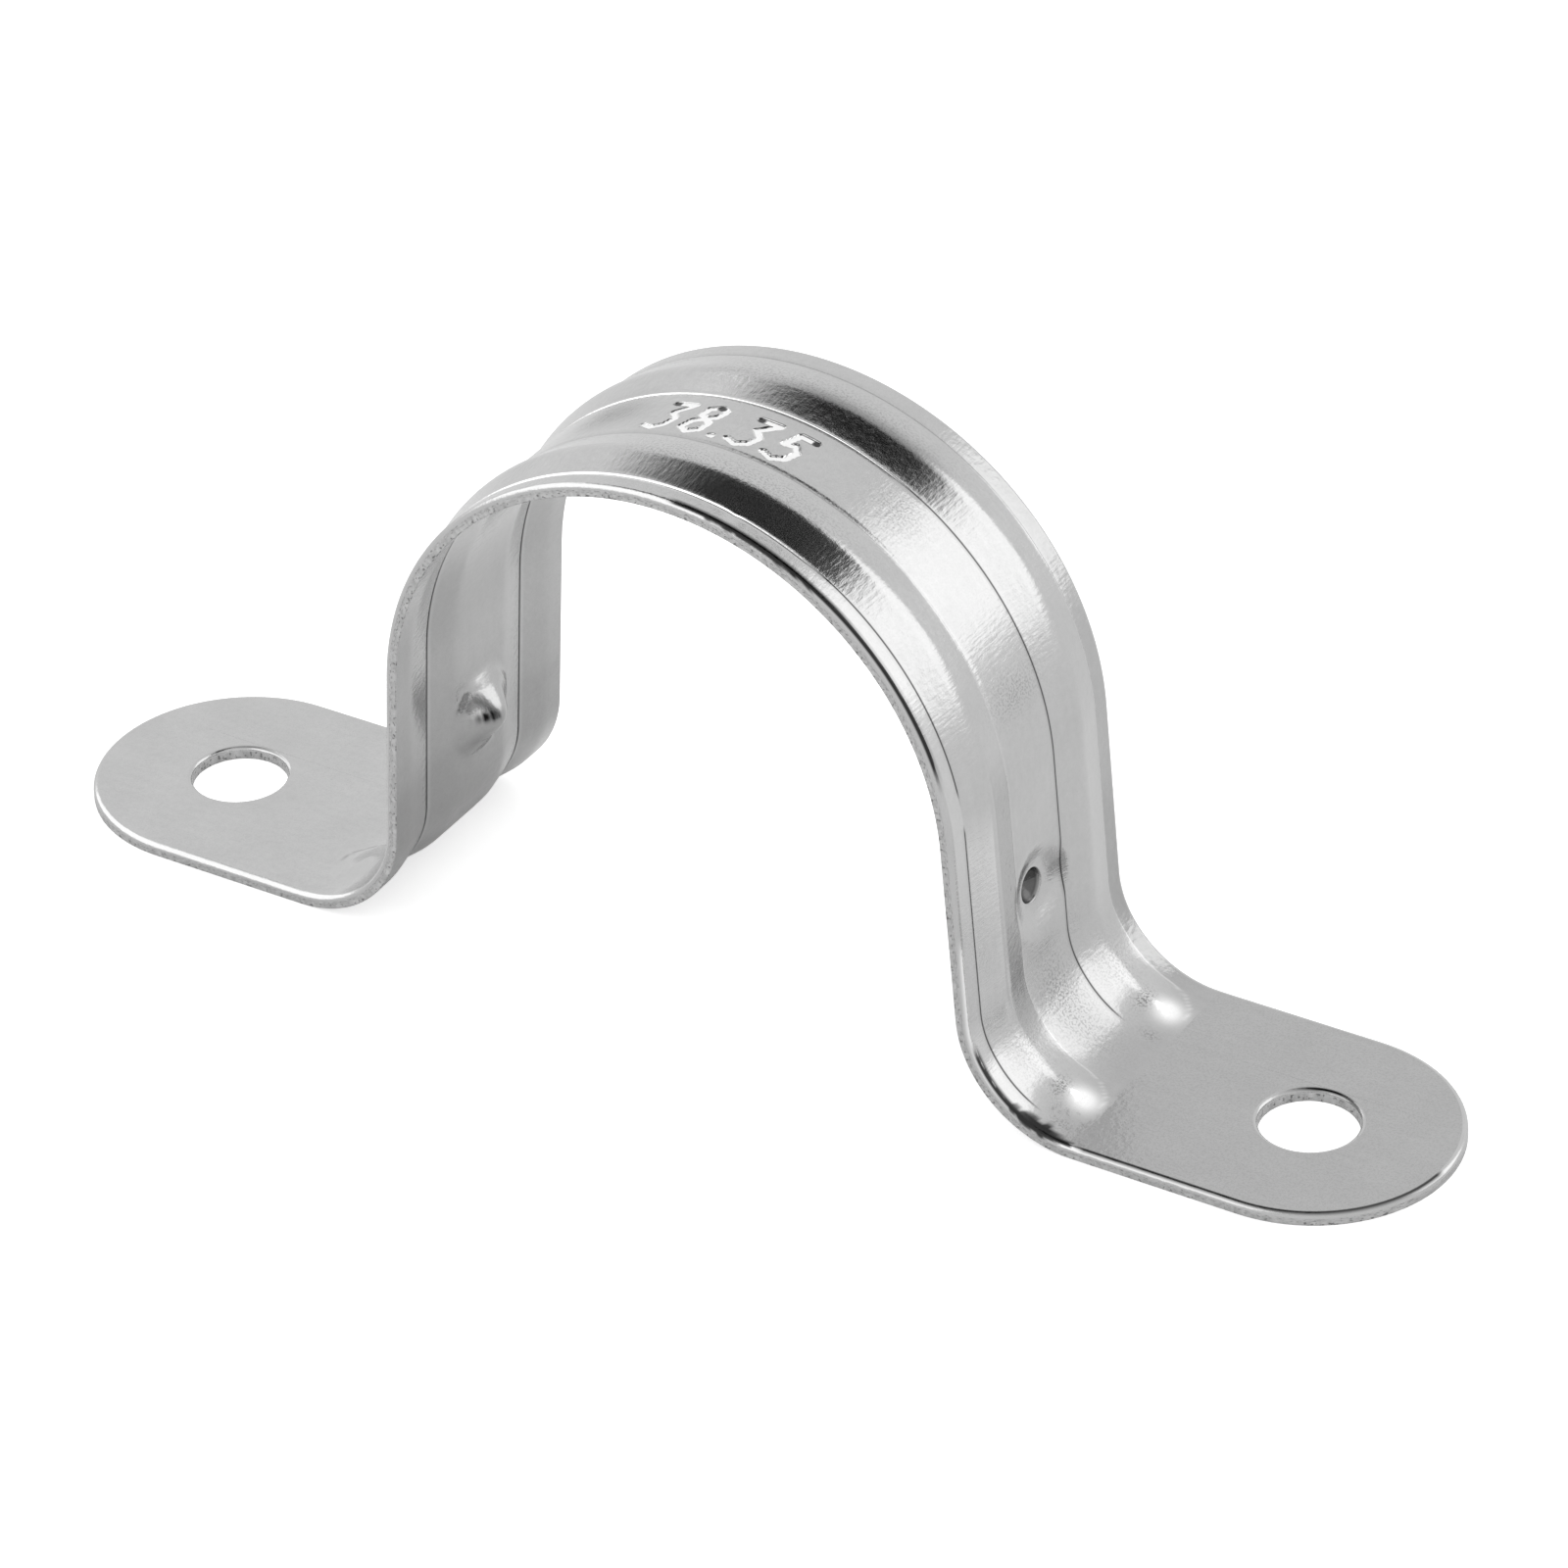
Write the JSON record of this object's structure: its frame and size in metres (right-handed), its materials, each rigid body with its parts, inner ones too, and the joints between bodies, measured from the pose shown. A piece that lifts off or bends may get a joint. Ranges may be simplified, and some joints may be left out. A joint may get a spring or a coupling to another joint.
{
  "type": "omega clamp",
  "caption": "Omega clamp pressed from plated steel strip: a ribbed arch that straps a pipe to a wall, with a flat ear and screw hole on each side and snap dimples in the legs.",
  "frame": {"origin": "midway between the two screw holes, on the plane of the wall that the ears bear on", "axes": "+X along the strap from hole to hole, +Y along the pipe, +Z away from the wall"},
  "size_m": [0.097, 0.0188, 0.0386],
  "materials": {
    "plated_steel": "bright zinc plate on cold-rolled strip"
  },
  "bodies": {
    "root": {"omega_clamp": "plated_steel"}
  },
  "joints": []
}
